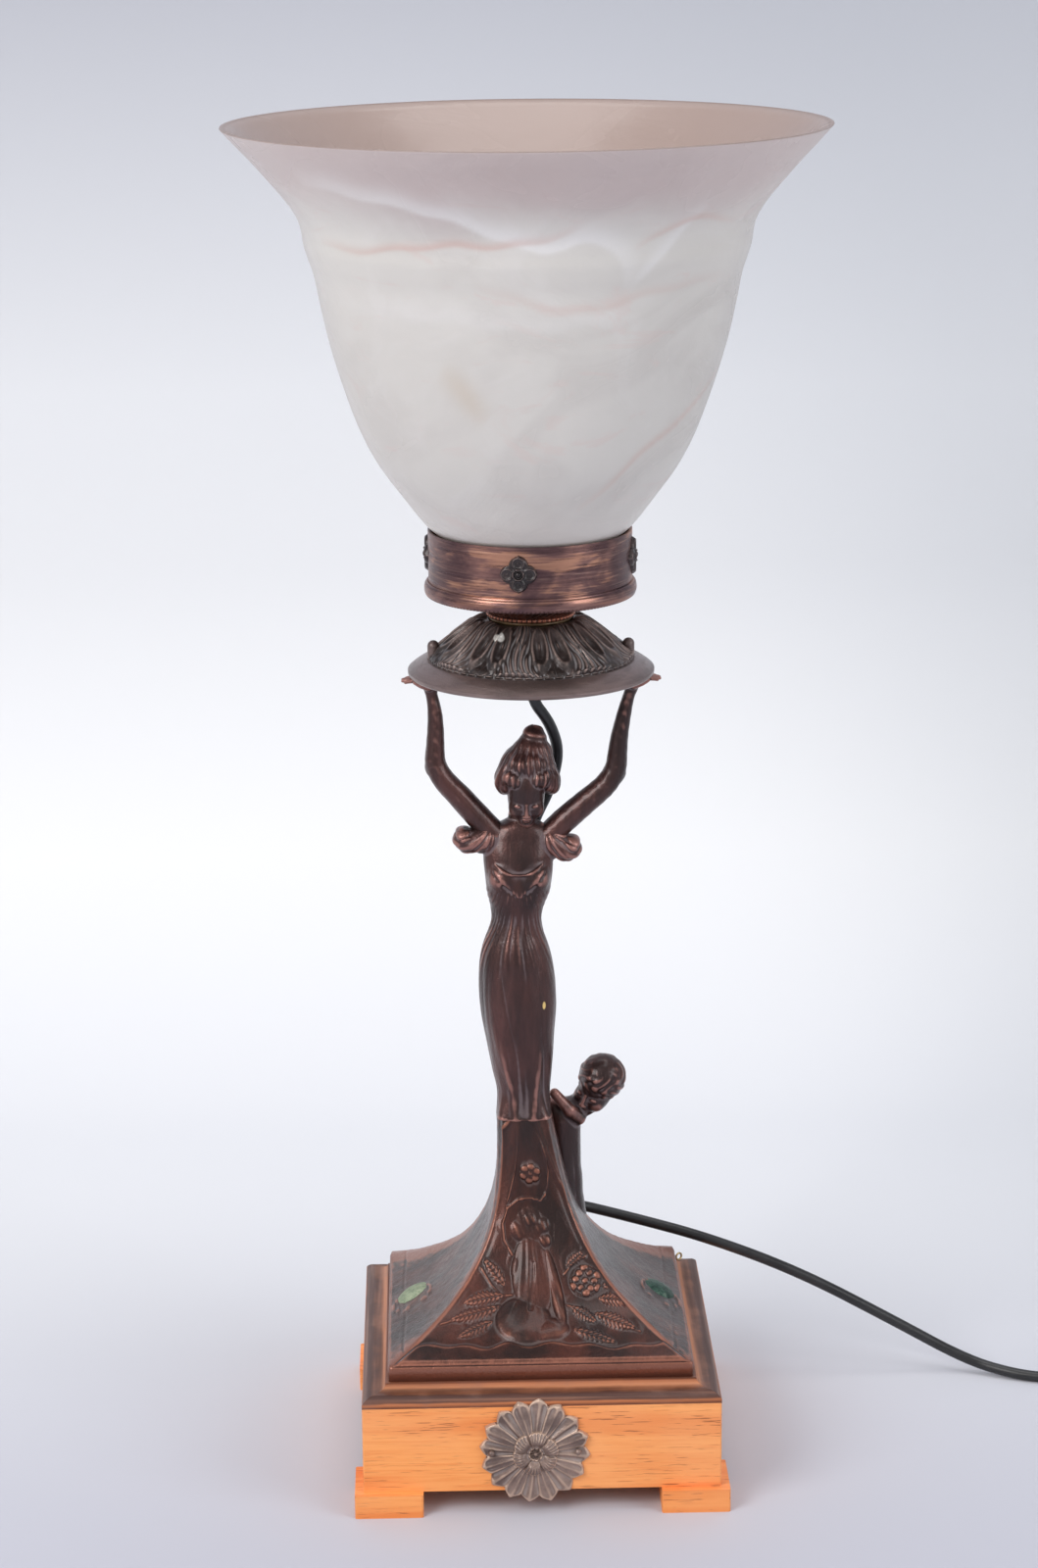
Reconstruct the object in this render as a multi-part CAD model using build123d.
from build123d import *
import os
from math import atan2, cos, degrees, exp, hypot, log, pi, radians, sin, tan

os.makedirs("parts", exist_ok=True)

# Figural table lamp: a draped woman on a flared square skirt holds up a moulded disc,
# on which a brass gallery carries a bell-shaped glass shade. Everything stands on one
# vertical axis. The origin is in the plane of the feet, +Z is up and the front looks
# along -Y. All sizes are millimetres.

# ---------------------------------------------------------------- driving sizes
# wooden plinth
FOOT_SIDE = 35.7
FOOT_HEIGHT = 12.7
FOOT_PROUD = 4.5
FOOT_SCREW_LENGTH = 24.0
BLOCK_SIDE = 186.7
BLOCK_HEIGHT = 46.9
BLOCK_EASING = 0.8
BOARD_HEIGHT = 9.0
BOARD_TOP_MARGIN = 1.2
PLINTH_SCREW_REACH = 55.0
PLINTH_SCREW_HOLE = 5.6
PLINTH_SCREW_THREAD = 5.0
PLINTH_SCREW_HEAD = 9.0
COUNTERBORE_WIDTH = 13.0
COUNTERBORE_DEPTH = 24.0
WASHER_THICKNESS = 1.0

# rosette on the front of the block
ROSETTE_RADIUS = 29.3
ROSETTE_PETALS = 16
ROSETTE_OFFSET = -4.0
ROSETTE_DROP = 1.2
ROSETTE_THICKNESS = 1.4
ROSETTE_CROWN = 3.4
ROSETTE_FLOWER_RADIUS = 12.5
ROSETTE_NAIL_PLACE = 22.5
ROSETTE_NAIL_RADIUS = 0.9

# cast skirt
SKIRT_SIDE = 159.6
SKIRT_RIM = 8.0
SKIRT_HEIGHT = 119.4
SKIRT_NECK = 13.2
SKIRT_FLARE = 30.0
SKIRT_WALL = 3.0
SCREW_BOSS_PLACE = 50.0
SCREW_BOSS_WIDTH = 13.0
SCREW_BOSS_HEIGHT = 26.0
STUD_RADIUS = 9.6
STUD_PLACE = 67.0
STUD_BACK = 4.0
STUD_CROWN = 2.6

# figure
DRESS_SHIFT = -5.7
GOWN_BORE = 5.8
GOWN_BORE_PLACE = (-7.1, 1.0)
GOWN_BORE_TOP = 321.0
NAPE_BORE = 4.8
NAPE_LINE = ((-8.75, 0.0, 312.0), (0.0, 15.0, 342.0))
NAPE_PAST = 12.0
HEAD_CENTRE = (-2.6, -2.0, 374.0)
HAND_REACH = 50.3
HAND_PIN_RADIUS = 3.1
HAND_PIN_DEPTH = 6.0
HAND_PIN_STAND = 9.5

# moulded disc and the stack that the threaded tube clamps
DISC_LEVEL = 428.6
DISC_RADIUS = 63.6
DISC_EDGE = 2.2
DISC_RISE = 5.6
DOME_FOOT_RADIUS = 52.5
DOME_HEIGHT = 20.6
DOME_TOP_RADIUS = 22.5
DOME_LEAVES = 8
COLLAR_RADIUS = 21.6
COLLAR_HEIGHT = 1.8
CUP_FOOT_RADIUS = 22.6
CUP_MOUTH_RADIUS = 34.0
CUP_HEIGHT = 11.7
CUP_FLUTES = 36
CUP_WALL = 2.0
TUBE_THREAD = 10.0
TUBE_BORE = 7.4
TUBE_BELOW = 6.6
TUBE_ABOVE = 12.0
NUT_ACROSS = 14.0
NUT_HEIGHT = 3.6
STACK_WASHER_RADIUS = 12.0
STACK_WASHER_HEIGHT = 1.4
STACK_CLEARANCE = 0.1

# gallery
GALLERY_RADIUS = 52.3
GALLERY_HEIGHT = 33.6
GALLERY_SHEET = 1.2
GALLERY_RIM_RADIUS = 54.6
GALLERY_RIM_HEIGHT = 7.4
ORNAMENT_SIZE = 18.0
ORNAMENT_HEIGHT = 2.4
ORNAMENT_TURN = -8.0
ORNAMENT_LEVEL = 13.5
ORNAMENT_COUNT = 4

# lampholder and bulb
HOLDER_CAP_RADIUS = 20.0
HOLDER_CAP_HEIGHT = 18.5
HOLDER_WALL = 2.0
HOLDER_FLANGE_RADIUS = 24.0
HOLDER_FLANGE_HEIGHT = 2.2
HOLDER_THREAD_RADIUS = 19.75
HOLDER_SHELL_HEIGHT = 30.0
HOLDER_BORE_RADIUS = 13.9
CONTACT_HEIGHT = 1.6
SEAT_WASHER_HEIGHT = 1.0
SHADE_RING_RADIUS = 28.0
SHADE_RING_HEIGHT = 6.0
SHADE_RING_CLEARANCE = 0.06
BULB_CAP_RADIUS = 13.2
BULB_CAP_HEIGHT = 22.0
BULB_RADIUS = 17.5
BULB_HEIGHT = 78.0

# glass shade
SHADE_RADIUS = 152.5
SHADE_OVERHANG = 0.9
SHADE_HEIGHT = 211.4
SHADE_WALL = 3.6
SHADE_HOLE_RADIUS = 21.0
SHADE_FLAT_RADIUS = 30.0

# cord, from the lampholder to the plug
CORD_RADIUS = 3.0
CORD_CHANNEL = 4.2
CORD_EXIT = (6.0, 49.0, 104.0)
EXIT_BOSS_RADIUS = 9.0
RELIEF_BORE = 3.06
RELIEF_COLLAR_RADIUS = 7.6
RELIEF_COLLAR_HEIGHT = 2.4
RELIEF_LENGTH = 20.0
COIL_GAP = 36.0
COIL_OUTER = 45.0
COIL_HALF_TURNS = 6
COIL_PITCH = 8.2
COIL_LAYER = 7.0
SWITCH_CENTRE = (353.0, 52.0)
SWITCH_LENGTH = 62.0
SWITCH_WIDTH = 27.0
SWITCH_HEIGHT = 17.0
SWITCH_WALL = 2.2
ROCKER_LENGTH = 20.0
ROCKER_WIDTH = 11.0
ROCKER_TILT_ROOM = 1.0
AXLE_SHARE = 0.72
AXLE_RADIUS = 1.5
AXLE_FIT = 0.05
AXLE_ROOM = 0.4
AXLE_EAR = 2.4
PLUG_GAP = 32.0
PLUG_WIDTH = 35.3
PLUG_DEPTH = 30.0
PLUG_HEIGHT = 13.7
PIN_SPACING = 18.6
PIN_RADIUS = 2.0
PIN_LENGTH = 19.0

# ---------------------------------------------------------------- levels that follow
BLOCK_TOP = FOOT_HEIGHT + BLOCK_HEIGHT
BOARD_TOP = BLOCK_TOP + BOARD_HEIGHT
RIM_TOP = BOARD_TOP + SKIRT_RIM
SKIRT_TOP = BOARD_TOP + SKIRT_HEIGHT
DISC_TOP = DISC_LEVEL + DISC_EDGE + DISC_RISE
DOME_TOP = DISC_TOP + DOME_HEIGHT
COLLAR_TOP = DOME_TOP + COLLAR_HEIGHT
CUP_TOP = COLLAR_TOP + CUP_HEIGHT
GALLERY_FLOOR = CUP_TOP + GALLERY_SHEET
GALLERY_TOP = CUP_TOP + GALLERY_HEIGHT
HOLDER_BASE = GALLERY_FLOOR + NUT_HEIGHT
HOLDER_SHELL_BASE = HOLDER_BASE + HOLDER_CAP_HEIGHT
SHADE_SEAT = HOLDER_SHELL_BASE + HOLDER_FLANGE_HEIGHT + SEAT_WASHER_HEIGHT
BULB_BASE = SHADE_SEAT + CONTACT_HEIGHT

written = []


def save(name, solid):
    """Write one piece to its own file and keep its name for the list at the end."""
    export_step(solid, f"parts/{name}.step")
    written.append(name)


def cylinder(radius, low, high, x=0.0, y=0.0):
    """An upright round bar from one level to another."""
    bar = Cylinder(radius, high - low, align=(Align.CENTER, Align.CENTER, Align.MIN))
    return Pos(x, y, low) * bar


def slab(length, width, low, high, x=0.0, y=0.0):
    """An upright block from one level to another."""
    block = Box(length, width, high - low, align=(Align.CENTER, Align.CENTER, Align.MIN))
    return Pos(x, y, low) * block


def turned(lines):
    """Revolve a closed outline, drawn as radius and height, about the lamp's axis."""
    outline = make_face(Plane.XZ * Wire(lines))
    return revolve(outline, Axis.Z)


def corners(half):
    """The four places at one distance from both middle lines."""
    return [(sx * half, sy * half) for sx in (-1, 1) for sy in (-1, 1)]


# ---------------------------------------------------------------- wooden plinth
def make_feet():
    """Four square pads under the corners of the block, each with a screw hole."""
    place = BLOCK_SIDE / 2 + FOOT_PROUD - FOOT_SIDE / 2
    names = {(-1, -1): "foot_front_left", (1, -1): "foot_front_right",
             (-1, 1): "foot_rear_left", (1, 1): "foot_rear_right"}
    for (sx, sy), name in names.items():
        pad = slab(FOOT_SIDE, FOOT_SIDE, 0, FOOT_HEIGHT, sx * place, sy * place)
        pad = chamfer(pad.edges().filter_by(Axis.Z), BLOCK_EASING)
        pad -= foot_screw(sx * place, sy * place)
        save(name, pad)
    screws = [foot_screw(x, y) for x, y in corners(place)]
    save("foot_screws", Compound(children=screws))
    return screws


def foot_screw(x, y):
    """A countersunk wood screw from below, its head flush with the pad."""
    head_radius, shank_radius, head_height, recess = 4.0, 2.0, 2.4, 1.0
    head = Pos(x, y, recess) * Cone(head_radius, shank_radius, head_height,
                                    align=(Align.CENTER, Align.CENTER, Align.MIN))
    shank = cylinder(shank_radius, recess + head_height, FOOT_SCREW_LENGTH, x, y)
    return head + shank


def make_block(foot_screws):
    """The plain block, drilled and counterbored for the screws that hold the casting."""
    block = slab(BLOCK_SIDE, BLOCK_SIDE, FOOT_HEIGHT, BLOCK_TOP)
    block = chamfer(block.edges().filter_by(Axis.Z), BLOCK_EASING)
    for x, y in corners(SCREW_BOSS_PLACE):
        block -= cylinder(PLINTH_SCREW_HOLE / 2, FOOT_HEIGHT, BLOCK_TOP, x, y)
        block -= cylinder(COUNTERBORE_WIDTH / 2, FOOT_HEIGHT,
                          FOOT_HEIGHT + COUNTERBORE_DEPTH, x, y)
    for screw in foot_screws:
        block -= screw
    for nail in rosette_nails():
        block -= nail
    save("wood_block", block)


def make_board():
    """The moulded board: one edge profile mitred round all four sides."""
    outer = BLOCK_SIDE / 2
    inner = SKIRT_SIDE / 2 + BOARD_TOP_MARGIN
    tread = outer - inner
    fillet_top = BLOCK_TOP + 0.24 * BOARD_HEIGHT
    quirk = BLOCK_TOP + 0.60 * BOARD_HEIGHT
    cove_top = BLOCK_TOP + 0.90 * BOARD_HEIGHT
    quirk_in = outer - 0.52 * tread
    half = [
        Line((0, BLOCK_TOP), (outer, BLOCK_TOP)),
        Line((outer, BLOCK_TOP), (outer, fillet_top)),
        RadiusArc((outer, fillet_top), (quirk_in, quirk), -0.62 * tread),
        Line((quirk_in, quirk), (quirk_in - 0.08 * tread, quirk)),
        RadiusArc((quirk_in - 0.08 * tread, quirk), (inner, cove_top), 0.45 * tread),
        Line((inner, cove_top), (inner, BOARD_TOP)),
        Line((inner, BOARD_TOP), (0, BOARD_TOP)),
        Line((0, BOARD_TOP), (0, BLOCK_TOP)),
    ]
    section = make_face(Plane.XZ * Wire(half))
    section += mirror(section, Plane.YZ)
    along_y = extrude(section, BLOCK_SIDE, both=True)
    board = along_y & (Rot(0, 0, 90) * along_y)
    for x, y in corners(SCREW_BOSS_PLACE):
        board -= cylinder(PLINTH_SCREW_HOLE / 2, BLOCK_TOP, BOARD_TOP, x, y)
    save("moulded_board", board)


def make_plinth_screws():
    """Machine screws and washers that pull the casting down on the wood."""
    seat = FOOT_HEIGHT + COUNTERBORE_DEPTH
    head_height = 3.6
    screws, washers = [], []
    for x, y in corners(SCREW_BOSS_PLACE):
        head = cylinder(PLINTH_SCREW_HEAD / 2, seat - WASHER_THICKNESS - head_height,
                        seat - WASHER_THICKNESS, x, y)
        shank = cylinder(PLINTH_SCREW_THREAD / 2, seat - WASHER_THICKNESS,
                         seat - WASHER_THICKNESS + PLINTH_SCREW_REACH, x, y)
        screws.append(head + shank)
        ring = cylinder(COUNTERBORE_WIDTH / 2 - 0.5, seat - WASHER_THICKNESS, seat, x, y)
        washers.append(ring - shank)
    save("plinth_screws", Compound(children=screws))
    save("plinth_washers", Compound(children=washers))
    return screws


# ---------------------------------------------------------------- rosette
def rosette_frame():
    """The plane of the rosette's back, on the front face of the block."""
    level = FOOT_HEIGHT + BLOCK_HEIGHT / 2 - ROSETTE_DROP
    return Plane(origin=(ROSETTE_OFFSET, -BLOCK_SIDE / 2, level),
                 x_dir=(1, 0, 0), z_dir=(0, -1, 0))


def rosette_nails():
    """Two round-headed nails that hold the rosette."""
    nails = []
    for side in (-1, 1):
        shank = Cylinder(ROSETTE_NAIL_RADIUS, 12,
                         align=(Align.CENTER, Align.CENTER, Align.MAX))
        inside = ROSETTE_RADIUS - (ROSETTE_NAIL_PLACE - 1.9 * ROSETTE_NAIL_RADIUS)
        rise = ROSETTE_THICKNESS + ROSETTE_CROWN * inside / (0.6 * ROSETTE_RADIUS)
        stem = Cylinder(ROSETTE_NAIL_RADIUS, rise,
                        align=(Align.CENTER, Align.CENTER, Align.MIN))
        head = Pos(0, 0, rise) * Sphere(1.9 * ROSETTE_NAIL_RADIUS)
        head &= Pos(0, 0, rise) * Box(8, 8, 8, align=(Align.CENTER, Align.CENTER, Align.MIN))
        nail = shank + stem + head
        nails.append(rosette_frame() * Pos(side * ROSETTE_NAIL_PLACE, 0, 0) * nail)
    return nails


def make_rosette():
    """A cast flower plate: a ring of pointed petals round a small raised flower."""
    step = 2 * pi / ROSETTE_PETALS
    tips, roots = [], []
    for k in range(ROSETTE_PETALS):
        tips.append((ROSETTE_RADIUS, k * step))
        roots.append((0.86 * ROSETTE_RADIUS, (k + 0.5) * step))
    outline = []
    for k in range(ROSETTE_PETALS):
        tip_r, tip_a = tips[k]
        root_r, root_a = roots[k]
        last_r, last_a = roots[k - 1]
        tip = (tip_r * cos(tip_a), tip_r * sin(tip_a))
        root = (root_r * cos(root_a), root_r * sin(root_a))
        last = (last_r * cos(last_a), last_r * sin(last_a))
        outline.append(RadiusArc(last, tip, 0.36 * ROSETTE_RADIUS))
        outline.append(RadiusArc(tip, root, 0.36 * ROSETTE_RADIUS))
    plate = extrude(make_face(Wire(outline)), ROSETTE_THICKNESS + ROSETTE_CROWN)
    dish = Pos(0, 0, ROSETTE_THICKNESS) * Cone(
        ROSETTE_RADIUS, 0.4 * ROSETTE_RADIUS, ROSETTE_CROWN,
        align=(Align.CENTER, Align.CENTER, Align.MIN))
    dish += Cylinder(ROSETTE_RADIUS + 1, ROSETTE_THICKNESS,
                     align=(Align.CENTER, Align.CENTER, Align.MIN))
    plate &= dish
    for nail_side in (-1, 1):
        plate -= Pos(nail_side * ROSETTE_NAIL_PLACE, 0, 0) * Cylinder(
            ROSETTE_NAIL_RADIUS, 30)
    top = ROSETTE_THICKNESS + ROSETTE_CROWN
    save("rosette", rosette_frame() * plate)
    flower = None
    petals = 6
    for k in range(petals):
        lobe = Pos(0.52 * ROSETTE_FLOWER_RADIUS, 0, 0) * Sphere(0.46 * ROSETTE_FLOWER_RADIUS)
        lobe = Rot(0, 0, k * 360 / petals) * lobe
        flower = lobe if flower is None else flower + lobe
    flower += Sphere(0.5 * ROSETTE_FLOWER_RADIUS)
    flower &= Box(60, 60, 30, align=(Align.CENTER, Align.CENTER, Align.MIN))
    flower += Pos(0, 0, 0.42 * ROSETTE_FLOWER_RADIUS) * Sphere(0.3 * ROSETTE_FLOWER_RADIUS)
    save("rosette_centre", rosette_frame() * Pos(0, 0, top) * flower)
    save("rosette_nails", Compound(children=rosette_nails()))


# ---------------------------------------------------------------- cast skirt
def skirt_half(level):
    """Half the skirt's width: an exponential flare from the neck down to the rim."""
    foot = SKIRT_SIDE / 2
    return SKIRT_NECK + (foot - SKIRT_NECK) * exp(-(level - RIM_TOP) / SKIRT_FLARE)


def skirt_centre(level):
    """The skirt leans from the middle of the plinth to the figure's own place."""
    share = (level - RIM_TOP) / (SKIRT_TOP - RIM_TOP)
    return DRESS_SHIFT * share ** 2


def flared(inset, top):
    """The flare as a loft of rounded squares that end nearly round at the neck."""
    rings = 9
    sections = []
    for k in range(rings):
        share = (k / (rings - 1)) ** 1.35
        level = RIM_TOP + share * (top - RIM_TOP)
        half = skirt_half(level) - inset
        corner = half * (0.03 + 0.85 * share ** 1.5)
        centre = skirt_centre(level)
        sections.append(Pos(centre, 0, level) * RectangleRounded(2 * half, 2 * half, corner))
    return loft(sections)


def exit_boss(radius, reach):
    """A round bar along the cord's way out of the back of the skirt."""
    x, y, z = CORD_EXIT
    bar = Cylinder(radius, reach, align=(Align.CENTER, Align.CENTER, Align.MAX))
    return Pos(x, y, z) * Rot(-90, 0, 0) * bar


def make_skirt(plinth_screws):
    """The hollow flared casting with its upright rim, screw bosses and cord boss."""
    rim = slab(SKIRT_SIDE, SKIRT_SIDE, BOARD_TOP, RIM_TOP)
    rim = fillet(rim.edges().filter_by(Axis.Z), 0.03 * SKIRT_SIDE / 2)
    hollow_side = SKIRT_SIDE - 2 * SKIRT_WALL
    rim_hollow = slab(hollow_side, hollow_side, BOARD_TOP, RIM_TOP)
    outside = rim + flared(0, SKIRT_TOP)
    cavity = flared(SKIRT_WALL, SKIRT_TOP)
    skirt = outside + (exit_boss(EXIT_BOSS_RADIUS, 14) - cavity)
    skirt -= rim_hollow
    skirt -= cavity
    for x, y in corners(SCREW_BOSS_PLACE):
        boss = cylinder(SCREW_BOSS_WIDTH / 2, BOARD_TOP, BOARD_TOP + SCREW_BOSS_HEIGHT, x, y)
        skirt += boss & outside
    for screw in plinth_screws:
        skirt -= screw
    skirt -= exit_boss(RELIEF_COLLAR_RADIUS - 2.2, 40)
    studs = make_studs()
    for stud in studs:
        skirt -= stud
    save("skirt_casting", skirt)
    return outside


def make_studs():
    """Round domed studs let into the left and right faces of the skirt."""
    level = RIM_TOP - SKIRT_FLARE * log_share()
    slope = (skirt_half(level) - SKIRT_NECK) / SKIRT_FLARE
    lean = degrees(atan2(1, slope))
    studs = []
    for side, name in ((-1, "left_stud"), (1, "right_stud")):
        body = Cylinder(STUD_RADIUS, 2.4, align=(Align.CENTER, Align.CENTER, Align.MAX))
        crown_radius = (STUD_RADIUS ** 2 + STUD_CROWN ** 2) / (2 * STUD_CROWN)
        crown = Pos(0, 0, STUD_CROWN - crown_radius) * Sphere(crown_radius)
        crown &= Cylinder(STUD_RADIUS, STUD_CROWN + 1,
                          align=(Align.CENTER, Align.CENTER, Align.MIN))
        stud = Rot(0, side * lean, 0) * (body + crown)
        stud = Pos(side * STUD_PLACE, STUD_BACK, level) * stud
        save(name, stud)
        studs.append(stud)
    return studs


def log_share():
    """How far up the flare the studs sit, from their distance out."""
    return log((STUD_PLACE - SKIRT_NECK) / (SKIRT_SIDE / 2 - SKIRT_NECK))


# ---------------------------------------------------------------- figure
def between(stations, steps):
    """Stations added between the given ones on a cubic that passes through each of them."""
    rows = [stations[0]]
    for k in range(len(stations) - 1):
        first, second = stations[k], stations[k + 1]
        before, after = stations[max(k - 1, 0)], stations[min(k + 2, len(stations) - 1)]
        for step in range(1, steps + 1):
            t = step / steps
            row = []
            for p0, p1, p2, p3 in zip(before, first, second, after):
                slope1, slope2 = (p2 - p0) / 2, (p3 - p1) / 2
                bend = 3 * (p2 - p1) - 2 * slope1 - slope2
                ease = 2 * (p1 - p2) + slope1 + slope2
                row.append(p1 + t * (slope1 + t * (bend + t * ease)))
            rows.append(tuple(row))
    return rows


def body_loft(stations):
    """A trunk through upright ellipses: centre, half width, half depth and level."""
    sections = [Pos(x, y, z) * Ellipse(a, b) for x, y, a, b, z in between(stations, 2)]
    return loft(sections, ruled=True)


def limb(stations):
    """A tapering limb along a line of places, each with its own radius."""
    rows = between([(*place, radius) for place, radius in stations], 2)
    sections = []
    for k, (x, y, z, radius) in enumerate(rows):
        before = Vector(*rows[max(k - 1, 0)][:3])
        after = Vector(*rows[min(k + 1, len(rows) - 1)][:3])
        section = Plane(origin=(x, y, z), z_dir=after - before, x_dir=(0, 1, 0))
        sections.append(section * Circle(radius))
    return loft(sections, ruled=True)


def egg(centre, size, turn=(0, 0, 0)):
    """A rounded mass: a unit ball stretched to three half sizes and turned."""
    return Pos(*centre) * Rot(*turn) * scale(Sphere(1), by=size)


def make_dress():
    """The trunk in its long gown, with the puffed sleeves round the arm roots. An upright bore and a
    slanting one from the nape hold the cord. Gives the form without its bores, for what meets it."""
    stations = [
        (DRESS_SHIFT, 0.0, 13.8, 13.0, SKIRT_TOP),
        (-6.5, 0.0, 15.8, 14.0, 212.0),
        (-7.6, 0.5, 18.6, 15.8, 232.0),
        (-8.6, 1.0, 20.5, 17.6, 256.0),
        (-9.4, 1.0, 18.6, 16.2, 275.0),
        (-8.7, 0.0, 13.1, 11.6, 296.0),
        (-7.6, -1.0, 16.6, 13.2, 312.0),
        (-7.6, -0.5, 18.2, 13.0, 328.0),
        (-7.4, 1.5, 14.5, 9.5, 342.0),
        (-6.4, 2.5, 8.0, 6.5, 350.0),
    ]
    body = body_loft(stations)
    sleeves = ((-27.0, 337.0, 7.4, (-7.0, 0.0, 4.0)), (-34.0, 341.0, 6.6, (-7.0, 0.0, 4.0)),
               (12.5, 335.0, 7.2, (7.0, 0.0, 3.0)), (19.5, 338.0, 6.8, (7.0, 0.0, 3.0)))
    for x, z, radius, outward in sleeves:
        body += Plane(origin=(x, 1.0, z), z_dir=outward) * Sphere(radius)
    low, nape = Vector(*NAPE_LINE[0]), Vector(*NAPE_LINE[1])
    way = nape - low
    bore = Plane(origin=low, z_dir=way) * Cylinder(
        NAPE_BORE, way.length + NAPE_PAST, align=(Align.CENTER, Align.CENTER, Align.MIN))
    place_x, place_y = GOWN_BORE_PLACE
    hollow = cylinder(GOWN_BORE, SKIRT_TOP - 8.0, GOWN_BORE_TOP, place_x, place_y)
    save("dress_casting", body - hollow - bore)
    return body


def make_arm(name, stations, palm, fingers, dress):
    """A raised arm whose flat palm carries the disc on a pin."""
    arm = limb(stations)
    side = 1 if palm[0] > 0 else -1
    arm += egg(palm, (6.4, 5.6, 3.6), (0, -side * 24, 0))
    for k, spread in enumerate((-4.2, -1.4, 1.4, 4.2)):
        x, y, z = fingers
        arm += egg((x, y + spread, z - 0.25 * abs(spread)), (4.6, 1.5, 1.7), (0, -side * 28, 0))
    pin_x = side * HAND_REACH
    arm += cylinder(HAND_PIN_RADIUS + 1.6, DISC_LEVEL - HAND_PIN_DEPTH - 1.5, DISC_LEVEL, pin_x)
    arm -= slab(60, 60, DISC_LEVEL, DISC_LEVEL + 40, pin_x)
    arm -= cylinder(HAND_PIN_RADIUS, DISC_LEVEL - HAND_PIN_DEPTH, DISC_LEVEL, pin_x)
    arm = largest(arm) - dress
    save(name, largest(arm))


def largest(shape):
    """The biggest solid of a cut shape, without slivers."""
    return max(shape.solids(), key=lambda solid: solid.volume)


def make_arms(dress):
    """Both arms, raised and bent at the elbow."""
    left = [((-22.0, 1.0, 340.0), 6.6), ((-30.0, 1.0, 351.5), 6.7), ((-39.0, 0.5, 363.0), 6.4),
            ((-47.4, 0.0, 373.4), 5.9), ((-50.4, 0.0, 382.5), 5.3), ((-49.7, 0.0, 395.0), 4.6),
            ((-50.2, 0.0, 408.0), 3.7), ((-51.2, 0.0, 416.5), 3.1), ((-52.5, 0.0, 421.5), 3.4)]
    right = [((9.0, 1.0, 338.0), 6.6), ((17.5, 1.0, 349.0), 6.7), ((28.0, 0.5, 359.0), 6.4),
             ((38.6, 0.0, 368.5), 5.9), ((43.6, 0.0, 377.5), 5.4), ((45.2, 0.0, 390.0), 4.7),
             ((47.6, 0.0, 404.5), 3.8), ((50.4, 0.0, 414.5), 3.1), ((52.6, 0.0, 421.0), 3.4)]
    make_arm("left_arm", left, (-54.0, 0.0, 423.6), (-60.2, 0.0, 425.2), dress)
    make_arm("right_arm", right, (55.0, 0.0, 423.4), (61.2, 0.0, 424.8), dress)


def make_head(dress, cord_way):
    """The bowed head with its piled hair and top knot, on the neck."""
    x, y, z = HEAD_CENTRE
    neck = limb([((x - 3.2, y + 4.5, z - 30), 6.0), ((x - 2.2, y + 2.5, z - 20), 5.2),
                 ((x - 1.0, y + 1.5, z - 10), 5.6)])
    face = egg((x - 0.8, y - 4.0, z - 11.0), (9.8, 10.6, 15.2), (14, 0, 0))
    hair = egg((x, y + 1.0, z + 2.0), (17.2, 15.0, 14.0), (8, 0, 0))
    back_roll = egg((x, y + 6.5, z - 5.0), (12.5, 8.5, 10.0))
    knot = egg((x + 3.6, y + 2.0, z + 19.6), (6.8, 6.6, 7.0))
    head = neck + face + hair + back_roll + knot
    head -= dress
    head -= cord_way
    save("head_casting", largest(head))


def make_child(dress, skirt):
    """The small figure that peers out from behind the gown."""
    head = egg((36.5, 20.0, 198.5), (11.6, 12.4, 13.4), (0, 18, 0))
    face = egg((31.0, 15.5, 190.0), (8.4, 9.0, 9.6), (20, 30, 0))
    neck = limb([((31.0, 23.0, 192.0), 6.2), ((25.0, 24.0, 184.0), 6.6), ((19.0, 24.0, 174.0), 8.6)])
    trunk = body_loft([(15.5, 20.0, 9.5, 9.0, 182.0), (16.5, 21.0, 11.0, 10.0, 172.0),
                       (15.5, 22.0, 11.2, 9.6, 156.0), (14.5, 22.0, 11.6, 10.0, 140.0),
                       (15.0, 23.0, 13.0, 11.5, 122.0), (16.0, 24.0, 15.0, 13.0, 108.0)])
    arm = limb([((24.0, 15.0, 178.0), 4.4), ((17.0, 9.0, 186.0), 4.0), ((9.5, 9.5, 194.0), 3.4)])
    child = head + face + neck + trunk + arm
    child -= dress
    child -= skirt
    child -= exit_boss(EXIT_BOSS_RADIUS, 20)
    save("child_casting", largest(child))


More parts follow.
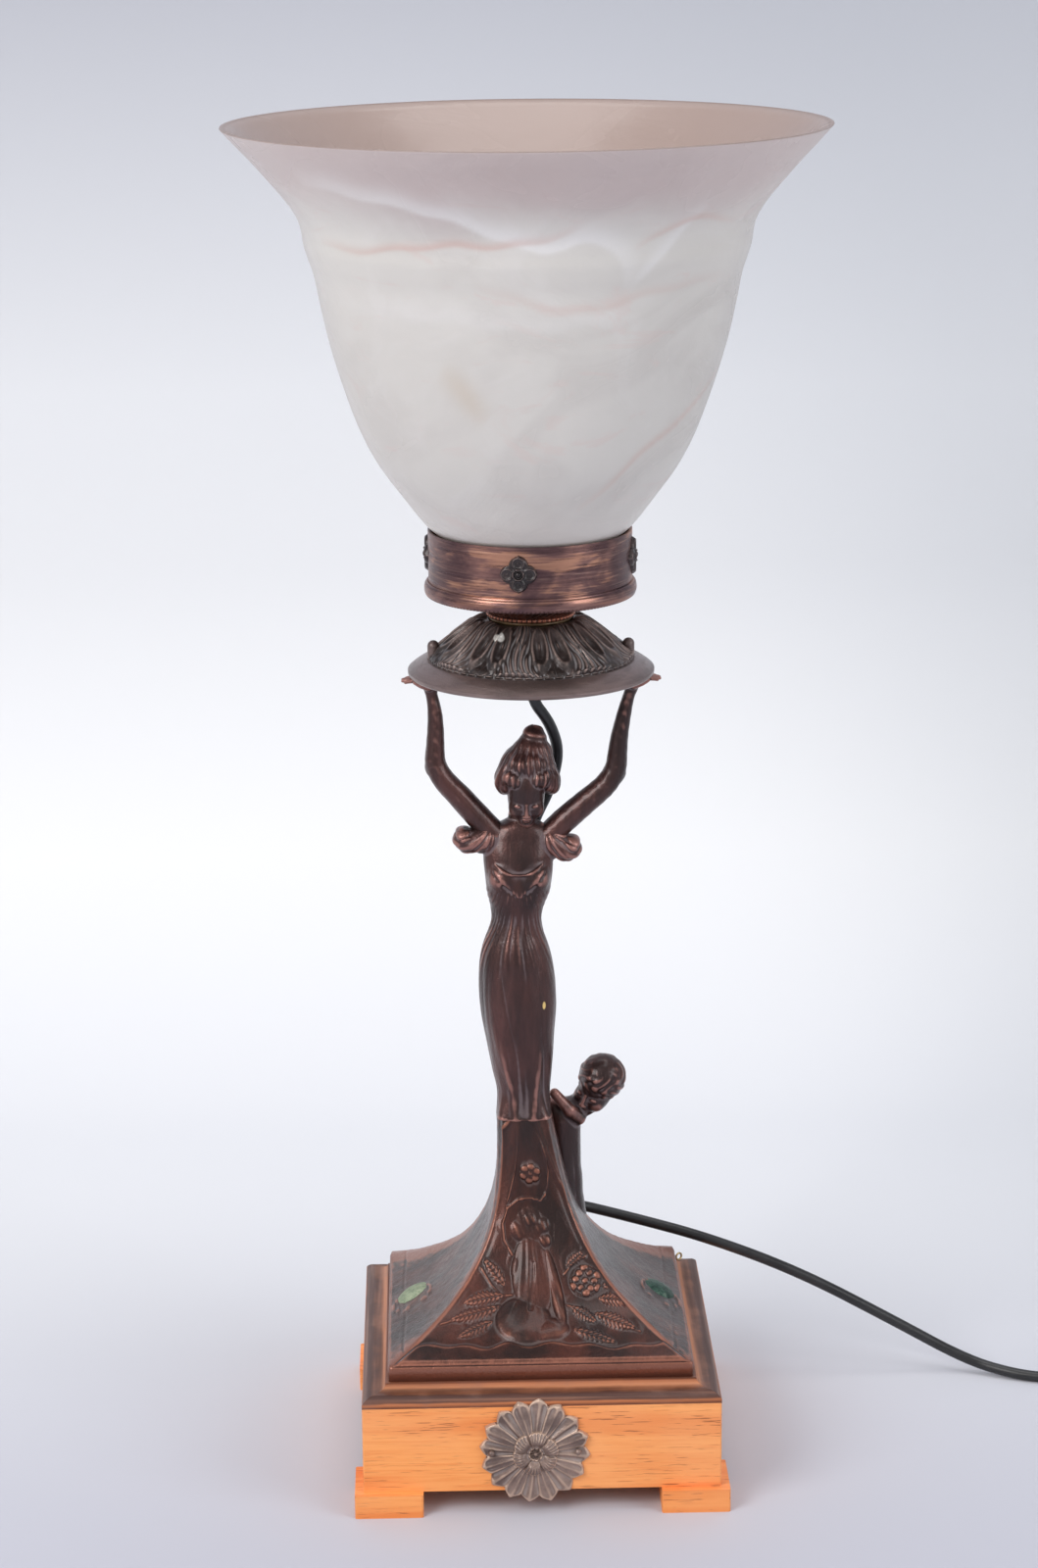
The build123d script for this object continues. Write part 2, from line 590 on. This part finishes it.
# ---------------------------------------------------------------- disc, dome, cup, gallery
def make_stack():
    """The turned and cast pieces that the threaded tube clamps together."""
    bore = TUBE_THREAD / 2 + STACK_CLEARANCE
    disc = turned([
        Line((bore, DISC_LEVEL), (DISC_RADIUS - 0.6, DISC_LEVEL)),
        Line((DISC_RADIUS - 0.6, DISC_LEVEL), (DISC_RADIUS, DISC_LEVEL + 0.6)),
        Line((DISC_RADIUS, DISC_LEVEL + 0.6), (DISC_RADIUS, DISC_LEVEL + DISC_EDGE)),
        RadiusArc((DISC_RADIUS, DISC_LEVEL + DISC_EDGE), (DOME_FOOT_RADIUS + 1.5, DISC_TOP),
                  -5.0 * DISC_RISE),
        Line((DOME_FOOT_RADIUS + 1.5, DISC_TOP), (bore, DISC_TOP)),
        Line((bore, DISC_TOP), (bore, DISC_LEVEL)),
    ])
    pins = []
    for side in (-1, 1):
        place = side * HAND_REACH
        top = DISC_TOP + HAND_PIN_STAND - HAND_PIN_RADIUS
        pin = cylinder(HAND_PIN_RADIUS, DISC_LEVEL - HAND_PIN_DEPTH, top, place)
        pin += Pos(place, 0, top) * Sphere(HAND_PIN_RADIUS)
        pins.append(pin)
    for pin in pins:
        disc -= pin
    save("disc", disc)
    save("hand_pins", Compound(children=pins))
    make_dome(bore, pins)
    edge = COLLAR_RADIUS - 0.3 * COLLAR_HEIGHT
    save("cup_collar", turned([
        Line((bore, DOME_TOP), (edge, DOME_TOP)),
        RadiusArc((edge, DOME_TOP), (edge, COLLAR_TOP), -0.57 * COLLAR_HEIGHT),
        Line((edge, COLLAR_TOP), (bore, COLLAR_TOP)),
        Line((bore, COLLAR_TOP), (bore, DOME_TOP)),
    ]))
    make_cup(bore)
    make_gallery(bore)
    low = DISC_LEVEL - TUBE_BELOW
    high = GALLERY_FLOOR + TUBE_ABOVE
    tube = cylinder(TUBE_THREAD / 2, low, high) - cylinder(TUBE_BORE / 2, low, high)
    save("threaded_tube", tube)
    washer_low = DISC_LEVEL - STACK_WASHER_HEIGHT
    washer = cylinder(STACK_WASHER_RADIUS, washer_low, DISC_LEVEL)
    save("lower_washer", washer - cylinder(bore, washer_low, DISC_LEVEL))
    save("lower_nut", hex_nut(washer_low - NUT_HEIGHT))
    save("gallery_nut", hex_nut(GALLERY_FLOOR))


def hex_nut(low):
    """A thin hexagon nut on the threaded tube."""
    nut = extrude(RegularPolygon(NUT_ACROSS / 2, 6, major_radius=False), NUT_HEIGHT)
    nut -= Cylinder(TUBE_THREAD / 2, 3 * NUT_HEIGHT)
    return Pos(0, 0, low) * nut


def make_dome(bore, pins):
    """The hollow leaf dome: a bell with a ring of curled leaves round its foot."""
    foot, top, height = DOME_FOOT_RADIUS, DOME_TOP_RADIUS, DOME_HEIGHT
    wall = 2.2
    waist = (0.76 * foot, DISC_TOP + 0.46 * height)
    lip = (0.88 * foot, DISC_TOP + 0.30 * height)
    outline = [
        Line((0.84 * foot, DISC_TOP), (0.93 * foot, DISC_TOP)),
        Line((0.93 * foot, DISC_TOP), (lip[0], lip[1])),
        Line(lip, waist),
        RadiusArc(waist, (top, DOME_TOP), -0.95 * foot),
        Line((top, DOME_TOP), (bore, DOME_TOP)),
        Line((bore, DOME_TOP), (bore, DOME_TOP - wall)),
        Line((bore, DOME_TOP - wall), (top - wall, DOME_TOP - wall)),
        RadiusArc((top - wall, DOME_TOP - wall), (waist[0] - wall, waist[1] - wall), 0.95 * foot),
        Line((waist[0] - wall, waist[1] - wall), (0.84 * foot, DISC_TOP)),
    ]
    dome = turned(outline)
    step = 360 / DOME_LEAVES
    for k in range(DOME_LEAVES):
        leaf = Pos(0.875 * foot, 0, DISC_TOP + 0.12 * height) * scale(
            Sphere(1), by=(0.125 * foot, 0.28 * foot, 0.26 * height))
        leaf &= slab(4 * foot, 4 * foot, DISC_TOP, DOME_TOP)
        dome += Rot(0, 0, k * step + step / 2) * leaf
        rib = Pos(0.60 * foot, 0, DISC_TOP + 0.52 * height) * Rot(0, 38, 0) * scale(
            Sphere(1), by=(0.30 * foot, 0.085 * foot, 0.26 * height))
        rib &= slab(4 * foot, 4 * foot, DISC_TOP + 0.25 * height, DOME_TOP)
        rib -= cylinder(top - 0.5 * wall, DISC_TOP, DOME_TOP)
        dome += Rot(0, 0, k * step) * rib
    for pin in pins:
        dome -= pin
    save("leaf_dome", largest(dome))


def make_cup(bore):
    """The fluted cup: a hollow flaring casting with slanting flutes and a bead ring."""
    foot, mouth = CUP_FOOT_RADIUS, CUP_MOUTH_RADIUS
    bead = 0.16 * CUP_HEIGHT
    outline = [
        Line((bore, COLLAR_TOP), (foot - 0.5, COLLAR_TOP)),
        RadiusArc((foot - 0.5, COLLAR_TOP), (foot - 0.5, COLLAR_TOP + bead), -0.62 * bead),
        RadiusArc((foot - 0.5, COLLAR_TOP + bead), (mouth, CUP_TOP - 1.0), 3.2 * CUP_HEIGHT),
        Line((mouth, CUP_TOP - 1.0), (mouth, CUP_TOP)),
        Line((mouth, CUP_TOP), (mouth - CUP_WALL, CUP_TOP)),
        Line((mouth - CUP_WALL, CUP_TOP), (foot - 2 * CUP_WALL, COLLAR_TOP + CUP_WALL)),
        Line((foot - 2 * CUP_WALL, COLLAR_TOP + CUP_WALL), (bore + 3.5, COLLAR_TOP + CUP_WALL)),
        Line((bore + 3.5, COLLAR_TOP + CUP_WALL), (bore + 3.5, CUP_TOP)),
        Line((bore + 3.5, CUP_TOP), (bore, CUP_TOP)),
        Line((bore, CUP_TOP), (bore, COLLAR_TOP)),
    ]
    cup = turned(outline)
    flute_low = Vector(foot + 1.0, 0, COLLAR_TOP + 1.5 * bead)
    flute_high = Vector(mouth + 0.9, 0, CUP_TOP - 1.6).rotate(Axis.Z, 14)
    along = flute_high - flute_low
    cutter = Cylinder(0.9, along.length, align=(Align.CENTER, Align.CENTER, Align.MIN))
    cutter = Plane(origin=flute_low, z_dir=along) * cutter
    cutters = [Rot(0, 0, k * 360 / CUP_FLUTES) * cutter for k in range(CUP_FLUTES)]
    cup -= cutters
    save("fluted_cup", cup)


def make_gallery(bore):
    """The spun gallery with its floor, the rolled rim and the four cast ornaments."""
    outer, sheet = GALLERY_RADIUS, GALLERY_SHEET
    band = cylinder(outer, CUP_TOP, GALLERY_TOP) - cylinder(outer - sheet, GALLERY_FLOOR, GALLERY_TOP)
    band -= cylinder(bore, CUP_TOP, GALLERY_FLOOR)
    save("gallery_band", band)
    rim_top = CUP_TOP + GALLERY_RIM_HEIGHT
    crown = GALLERY_RIM_RADIUS - outer
    rim = turned([
        Line((outer, CUP_TOP), (GALLERY_RIM_RADIUS - 0.8, CUP_TOP)),
        Line((GALLERY_RIM_RADIUS - 0.8, CUP_TOP), (GALLERY_RIM_RADIUS - 0.8, CUP_TOP + 1.4)),
        Line((GALLERY_RIM_RADIUS - 0.8, CUP_TOP + 1.4), (GALLERY_RIM_RADIUS, CUP_TOP + 2.2)),
        Line((GALLERY_RIM_RADIUS, CUP_TOP + 2.2), (GALLERY_RIM_RADIUS, rim_top - crown)),
        RadiusArc((GALLERY_RIM_RADIUS, rim_top - crown), (outer, rim_top), -crown),
        Line((outer, rim_top), (outer, CUP_TOP)),
    ])
    save("gallery_rim", rim)
    ornament = None
    size = ORNAMENT_SIZE
    for k in range(4):
        lobe = Rot(0, 0, 90 * k) * Pos(0.27 * size, 0, 0) * Cylinder(0.23 * size, 12)
        ornament = lobe if ornament is None else ornament + lobe
    ornament += Rot(0, 0, 45) * Box(0.5 * size, 0.5 * size, 12)
    for k in range(4):
        point = Rot(0, 0, 90 * k + 45) * Pos(0.33 * size, 0, 0) * Rot(0, 0, 45) * Box(
            0.16 * size, 0.16 * size, 12)
        ornament += point
    shell = cylinder(outer + ORNAMENT_HEIGHT, CUP_TOP, GALLERY_TOP + 20)
    shell -= cylinder(outer, CUP_TOP, GALLERY_TOP + 20)
    level = GALLERY_TOP - ORNAMENT_LEVEL
    names = ("front", "right", "rear", "left")
    for k in range(ORNAMENT_COUNT):
        turn = ORNAMENT_TURN + k * 360 / ORNAMENT_COUNT
        placed = Rot(0, 0, turn) * Pos(0, -outer, level) * Rot(90, 0, 0) * ornament
        piece = placed & shell
        knob = Rot(0, 0, turn) * Pos(0, -outer - ORNAMENT_HEIGHT, level) * Sphere(0.14 * size)
        knob -= cylinder(outer + 0.5, CUP_TOP, GALLERY_TOP)
        save(f"ornament_{names[k % 4]}" if k < 4 else f"ornament_{k}", largest(piece + knob))


# ---------------------------------------------------------------- lampholder and bulb
def make_lampholder():
    """A three-part screw lampholder on the threaded tube."""
    low, high = HOLDER_BASE, HOLDER_SHELL_BASE
    radius, wall = HOLDER_CAP_RADIUS, HOLDER_WALL
    cap = cylinder(radius, low, high)
    cap = fillet(cap.edges().group_by(Axis.Z)[0], 3.0)
    cap -= cylinder(radius - wall, low + 2 * wall, high)
    cap -= cylinder(TUBE_THREAD / 2, low, high)
    save("lampholder_cap", cap)
    shell_top = high + HOLDER_SHELL_HEIGHT
    seat = SHADE_SEAT
    shell = cylinder(HOLDER_FLANGE_RADIUS, high, high + HOLDER_FLANGE_HEIGHT)
    shell += cylinder(HOLDER_THREAD_RADIUS, high, shell_top)
    shell -= cylinder(HOLDER_BORE_RADIUS, high, shell_top)
    insert_radius = radius - wall - 0.2
    shell -= cylinder(insert_radius, high, seat)
    save("lampholder_shell", shell)
    insert_low = GALLERY_FLOOR + TUBE_ABOVE + 1.0
    insert = cylinder(insert_radius, insert_low, seat)
    screws = []
    for side in (-1, 1):
        screw = cylinder(1.6, insert_low, insert_low + 5.0, side * 11.0)
        insert -= screw
        screws.append(screw)
    save("lampholder_insert", insert)
    save("terminal_screws", Compound(children=screws))
    contact = slab(5.0, 9.0, seat, BULB_BASE)
    save("centre_contact", contact)
    side_contact = slab(3.2, 3.6, seat, BULB_BASE + 4.0, HOLDER_BORE_RADIUS - 1.9)
    side_contact &= cylinder(HOLDER_BORE_RADIUS - 0.1, seat, BULB_BASE + 4.0)
    side_contact -= cylinder(BULB_CAP_RADIUS - 1.6, seat, BULB_BASE + 10.0)
    save("side_contact", side_contact)
    washer = cylinder(HOLDER_FLANGE_RADIUS, seat - SEAT_WASHER_HEIGHT, seat)
    washer -= cylinder(HOLDER_THREAD_RADIUS + 0.2, seat - SEAT_WASHER_HEIGHT, seat)
    save("seat_washer", washer)
    return insert_low


def make_bulb():
    """An opal candle bulb: tip contact, screw cap and envelope."""
    tip_height = 5.0
    cap_base = BULB_BASE + tip_height
    cap_top = cap_base + BULB_CAP_HEIGHT
    neck = BULB_CAP_RADIUS - 1.8
    tip = cylinder(4.6, BULB_BASE, BULB_BASE + 1.4)
    tip += Pos(0, 0, BULB_BASE + 1.4) * Cone(5.4, neck, tip_height - 1.4,
                                             align=(Align.CENTER, Align.CENTER, Align.MIN))
    save("bulb_tip", tip)
    cap = cylinder(BULB_CAP_RADIUS, cap_base, cap_top)
    cap = fillet(cap.edges().filter_by(GeomType.CIRCLE), 1.2)
    save("bulb_cap", cap)
    top = cap_top + BULB_HEIGHT
    widest = (BULB_RADIUS, cap_top + 0.32 * BULB_HEIGHT)
    shoulder = (0.62 * BULB_RADIUS, cap_top + 0.78 * BULB_HEIGHT)
    side = Spline([(neck, cap_top), widest, shoulder, (0, top)],
                  tangents=[(0.35, 1), (-0.9, 0.35)])
    envelope = turned([Line((0, cap_top), (neck, cap_top)), side, Line((0, top), (0, cap_top))])
    save("bulb_envelope", envelope)


# ---------------------------------------------------------------- shade
def shade_profile():
    """The bell: bowl, soft shoulder and flared mouth, as radius and height above the seat. The bowl
    starts over the edge of the gallery, and the rest is a share of the way out to the mouth."""
    foot = GALLERY_RADIUS - GALLERY_SHEET + SHADE_OVERHANG
    bell = [(0.0, 0.040), (0.129, 0.121), (0.247, 0.199), (0.331, 0.279), (0.413, 0.388),
            (0.483, 0.492), (0.530, 0.590), (0.554, 0.655), (0.595, 0.700), (0.609, 0.760),
            (0.663, 0.815), (0.769, 0.880), (0.886, 0.947), (1.0, 1.0)]
    return [(foot + (SHADE_RADIUS - foot) * r, SHADE_SEAT + SHADE_HEIGHT * h) for r, h in bell]


def arcs_through(points):
    """A chain of arcs, each through three points of a profile."""
    return [ThreePointArc(*points[k:k + 3]) for k in range(0, len(points) - 2, 2)]


def make_shade():
    """The blown bell with a flat drilled bottom, and the ring that clamps it."""
    outer = shade_profile()
    inner = []
    for k, (r, z) in enumerate(outer):
        before = outer[max(k - 1, 0)]
        after = outer[min(k + 1, len(outer) - 1)]
        length = hypot(after[0] - before[0], after[1] - before[1])
        along = ((after[0] - before[0]) / length, (after[1] - before[1]) / length)
        inner.append((r - SHADE_WALL * along[1], z + SHADE_WALL * along[0]))
    inner[-1] = (inner[-1][0] + 1.2, outer[-1][1])
    floor = SHADE_SEAT + SHADE_WALL
    hole, flat = SHADE_HOLE_RADIUS, SHADE_FLAT_RADIUS
    outline = [Line((hole, SHADE_SEAT), (flat, SHADE_SEAT))]
    outline += arcs_through([(flat, SHADE_SEAT)] + outer)
    outline += [Line(outer[-1], inner[-1])]
    outline += arcs_through([(flat, floor)] + inner)
    outline += [Line((flat, floor), (hole, floor)), Line((hole, floor), (hole, SHADE_SEAT))]
    shade = turned(outline)
    save("glass_shade", shade)
    bore = HOLDER_THREAD_RADIUS + SHADE_RING_CLEARANCE
    ring = cylinder(SHADE_RING_RADIUS, floor, floor + 2.0)
    ring += cylinder(SHADE_RING_RADIUS - 4.5, floor, floor + SHADE_RING_HEIGHT)
    ring -= cylinder(bore, floor, floor + SHADE_RING_HEIGHT)
    save("shade_ring", ring)


# ---------------------------------------------------------------- cord
def route_radii(points):
    """One bend radius per corner: as large as the two runs beside it allow."""
    radii = []
    for a, b, c in zip(points, points[1:], points[2:]):
        before = Vector(*b) - Vector(*a)
        after = Vector(*c) - Vector(*b)
        half_turn = radians(before.get_angle(after)) / 2
        radii.append(0.45 * min(before.length, after.length) / tan(half_turn))
    return radii


def tube_along(points, radius, label):
    """A round tube on straight runs joined by tangent arcs; prints its bends and length."""
    radii = route_radii(points)
    path = FilletPolyline(*[Vector(*p) for p in points], radius=radii)
    start = Plane(origin=path @ 0, z_dir=path % 0)
    tube = sweep(start * Circle(radius), path=path)
    expected = pi * radius ** 2 * path.length
    bends = ", ".join(f"{value:.0f}" for value in radii)
    print(f"{label}: length {path.length:.1f}, bends {bends}, volume off {tube.volume / expected - 1:.5f}")
    return tube


INNER_ROUTE = [
    (0, 0, None), (0, 0, DISC_LEVEL - 14.6), (9.6, 8.0, 399.5), (14.8, 17.5, 382.0), (11.0, 22.0, 362.0),
    (0.0, 15.0, 342.0), (-7.0, 3.0, 318.0), (-8.6, -0.5, 290.0), (-8.4, 0.5, 240.0),
    (-5.5, 1.0, 190.0), (-1.0, 6.0, 150.0), (4.0, 18.0, 118.0), (6.0, 34.0, 104.0),
]

FREE_ROUTE = [
    (6.0, 84.0, 104.0), (24.0, 98.0, 96.0), (56.0, 97.0, 87.5), (100.0, 91.0, 76.5),
    (152.0, 86.0, 56.5), (204.0, 80.0, 29.0), (246.0, 73.0, 6.5), (272.0, 60.0, 3.1),
    (292.0, 54.0, 3.1),
]


def switch_ends():
    """Where the cord enters and leaves the switch, at the middle of its height."""
    x, y = SWITCH_CENTRE
    return x - SWITCH_LENGTH / 2, x + SWITCH_LENGTH / 2, y, SWITCH_HEIGHT / 2


def make_cords(insert_low):
    """The cord in its stretches: inside the lamp, free to the switch, on to the coil."""
    exit_x, exit_y, exit_z = CORD_EXIT
    inner = [(x, y, insert_low if z is None else z) for x, y, z in INNER_ROUTE]
    inner.append((exit_x, exit_y - 4.0, exit_z))
    save("cord_inner", tube_along(inner, CORD_RADIUS, "inner cord"))
    enter, leave, line, level = switch_ends()
    free = [(exit_x, exit_y - 4.0, exit_z)] + FREE_ROUTE
    free += [(enter - 14.0, line, level), (enter, line, level)]
    save("cord_free", tube_along(free, CORD_RADIUS, "free cord"))
    floor = CORD_RADIUS + 0.1
    start = (leave + COIL_GAP, line, floor)
    lead = [(leave, line, level), (leave + 8.0, line, level),
            (leave + COIL_GAP - 10.0, line, floor), start]
    save("cord_lead", tube_along(lead, CORD_RADIUS, "cord to the coil"))
    make_coil(start)


def make_coil(start):
    """Half turns that spiral in, climb one layer, and spiral out again."""
    middle_x = start[0] + 2 * CORD_RADIUS
    middle_y = start[1] + COIL_OUTER

    def place(across, along, height):
        """A point of the coil, from the line through its half turns' ends."""
        return (middle_x + along, middle_y - across, height)

    reach, height, side = COIL_OUTER, start[2], 1
    edges = [Line(start, place(reach, 0, height))]
    steps = [-COIL_PITCH / 2] * COIL_HALF_TURNS + [0.0] + [COIL_PITCH / 2] * COIL_HALF_TURNS
    for k, change in enumerate(steps):
        here, low = side * reach, height
        reach += change
        side = -side
        there = side * reach
        height += COIL_LAYER if k == COIL_HALF_TURNS else 0.0
        bulge = -side * hypot(there - here, height - low) / 2
        edges.append(ThreePointArc(place(here, 0, low),
                                   place((here + there) / 2, bulge, (low + height) / 2),
                                   place(there, 0, height)))
    tail_start = place(side * reach, side * 2 * CORD_RADIUS, height)
    edges.append(Line(place(side * reach, 0, height), tail_start))
    path = Wire(edges)
    tube = sweep(Plane(origin=path @ 0, z_dir=path % 0) * Circle(CORD_RADIUS), path=path)
    print(f"coil: length {path.length:.1f}, half turns {len(steps)}, "
          f"least gap {coil_gap(path):.2f}, ends at {tail_start}")
    save("cord_coil", tube)
    make_tail(tail_start, side)


def coil_gap(path):
    """The least clear distance between one turn and another, on points along the path."""
    count = 900
    points = [path.position_at(k / count) for k in range(count + 1)]
    spacing = path.length / count
    skip = int(4 * CORD_RADIUS * 2 / spacing)
    least = 1e9
    for i in range(0, count + 1):
        for j in range(i + skip, count + 1):
            least = min(least, (points[i] - points[j]).length)
    return least - 2 * CORD_RADIUS


def make_tail(start, way):
    """The end of the cord, down from the coil's top layer to the plug beside it."""
    x, y, z = start
    level = PLUG_HEIGHT / 2
    end = x + way * PLUG_GAP
    tail = [start, (x + way * 8.0, y, z), (end - way * 8.0, y, level), (end, y, level)]
    save("cord_tail", tube_along(tail, CORD_RADIUS, "cord to the plug"))
    make_plug(end, y, way)


def make_plug(x, y, way):
    """A flat two-pin plug lying on its side, with its moulded neck and sleeved pins."""
    depth, width, height = PLUG_DEPTH, PLUG_WIDTH, PLUG_HEIGHT
    neck = 12.0
    frame = Plane(origin=(x, y, height / 2), z_dir=(way, 0, 0), x_dir=(0, 1, 0))
    corner = 0.3 * height
    stages = [(0.0, 7.4, 7.4, 3.2), (neck, 12.0, 10.6, 4.0),
              (neck + 0.4 * depth, 0.8 * width, height, corner),
              (neck + 0.6 * depth, width, height, corner), (neck + depth, width, height, corner)]
    sections = [Pos(0, 0, at) * RectangleRounded(wide, tall, round_off)
                for at, wide, tall, round_off in stages]
    body = loft(sections, ruled=True)
    pins = []
    for side in (-1, 1):
        bar = Cylinder(PIN_RADIUS, PIN_LENGTH - PIN_RADIUS,
                       align=(Align.CENTER, Align.CENTER, Align.MIN))
        bar += Pos(0, 0, PIN_LENGTH - PIN_RADIUS) * Sphere(PIN_RADIUS)
        pins.append(Pos(side * PIN_SPACING / 2, 0, neck + depth) * bar)
    save("plug_body", frame * body)
    save("plug_pins", Compound(children=[frame * pin for pin in pins]))


def make_relief():
    """The tapered rubber sleeve in the cord boss, with its collar."""
    x, y, z = CORD_EXIT
    up = (Align.CENTER, Align.CENTER, Align.MIN)
    plugged = Cylinder(RELIEF_COLLAR_RADIUS - 2.25, 8, align=(Align.CENTER, Align.CENTER, Align.MAX))
    collar = Cylinder(RELIEF_COLLAR_RADIUS, RELIEF_COLLAR_HEIGHT, align=up)
    taper = Pos(0, 0, RELIEF_COLLAR_HEIGHT) * Cone(
        RELIEF_COLLAR_RADIUS - 2.6, CORD_RADIUS + 0.8, RELIEF_LENGTH - RELIEF_COLLAR_HEIGHT, align=up)
    relief = plugged + collar + taper
    relief -= Cylinder(RELIEF_BORE, 200)
    save("cord_relief", Plane(origin=(x, y, z), z_dir=(0, 1, 0)) * relief)


def make_switch():
    """The in-line switch: two half shells held by two screws, and the rocker."""
    x, y = SWITCH_CENTRE
    length, width, height, wall = SWITCH_LENGTH, SWITCH_WIDTH, SWITCH_HEIGHT, SWITCH_WALL
    parting = 0.5 * height
    end_flat = 1.0
    outline = SlotOverall(length + 2 * end_flat, width)
    body = extrude(outline, height)
    body = chamfer(body.edges().group_by(Axis.Z)[0], 1.0)
    body = fillet(body.edges().group_by(Axis.Z)[-1], 2.5)
    hollow = Pos(0, 0, wall) * extrude(SlotOverall(length - 4 * wall, width - 2 * wall),
                                       height - 2 * wall)
    flats = Box(length, width + 2, 3 * height)
    body &= flats
    body -= hollow
    window = slab(ROCKER_LENGTH + 2 * ROCKER_TILT_ROOM, ROCKER_WIDTH + 2 * AXLE_ROOM,
                  height / 2, height + 5)
    upper = body & slab(200, 200, parting, height)
    upper -= window
    lower = body & slab(200, 200, 0, parting)
    screws = []
    for side in (-1, 1):
        post = cylinder(3.0, wall, parting, side * 0.3 * length)
        lower += post
        bore = cylinder(1.3, 1.0, height - wall - 0.5, side * 0.3 * length)
        head = cylinder(2.4, 0.8, 2.4, side * 0.3 * length)
        upper += cylinder(3.0, parting, height - wall, side * 0.3 * length)
        screw = bore + head
        lower -= screw
        upper -= screw
        screws.append(screw)
    axle_level = AXLE_SHARE * height
    ear_place = ROCKER_WIDTH / 2 + AXLE_ROOM + AXLE_EAR / 2
    for side in (-1, 1):
        upper += slab(3 * AXLE_RADIUS + 3, AXLE_EAR, axle_level - 2 * AXLE_RADIUS, height - wall,
                      0, side * ear_place)
    reach = ROCKER_WIDTH + 2 * AXLE_ROOM + AXLE_EAR
    axle = Pos(0, 0, axle_level) * Rot(90, 0, 0) * Cylinder(AXLE_RADIUS, reach)
    upper -= Pos(0, 0, axle_level) * Rot(90, 0, 0) * Cylinder(AXLE_RADIUS + AXLE_FIT, reach + AXLE_ROOM)
    cheek = slab(ROCKER_LENGTH, ROCKER_WIDTH, 0.62 * height, height + 1.8)
    crown = Pos(0, 0, height + 12.0) * Rot(90, 0, 0) * Cylinder(12.5, ROCKER_WIDTH + 4)
    rocker = (cheek - crown) + axle
    place = Pos(x, y, 0)
    save("switch_upper", place * upper)
    save("switch_lower", place * lower)
    save("switch_screws", Compound(children=[place * screw for screw in screws]))
    save("switch_rocker", place * rocker)


# ---------------------------------------------------------------- build
def cord_channel(insert_low):
    """The way that is left open for the cord inside the figure."""
    exit_x, exit_y, exit_z = CORD_EXIT
    points = [(x, y, insert_low if z is None else z) for x, y, z in INNER_ROUTE]
    points.append((exit_x, exit_y - 4.0, exit_z))
    radii = route_radii(points)
    path = FilletPolyline(*[Vector(*p) for p in points], radius=radii)
    return sweep(Plane(origin=path @ 0, z_dir=path % 0) * Circle(CORD_CHANNEL), path=path)


def main():
    """Make every piece of the lamp, from the feet up."""
    foot_screws = make_feet()
    make_block(foot_screws)
    make_board()
    plinth_screws = make_plinth_screws()
    make_rosette()
    insert_low = make_lampholder()
    cord_way = cord_channel(insert_low)
    skirt = make_skirt(plinth_screws)
    dress = make_dress()
    make_arms(dress)
    make_head(dress, cord_way)
    make_child(dress, skirt)
    make_stack()
    make_bulb()
    make_shade()
    make_relief()
    make_cords(insert_low)
    make_switch()
    print(len(written), "pieces:", ", ".join(written))


main()
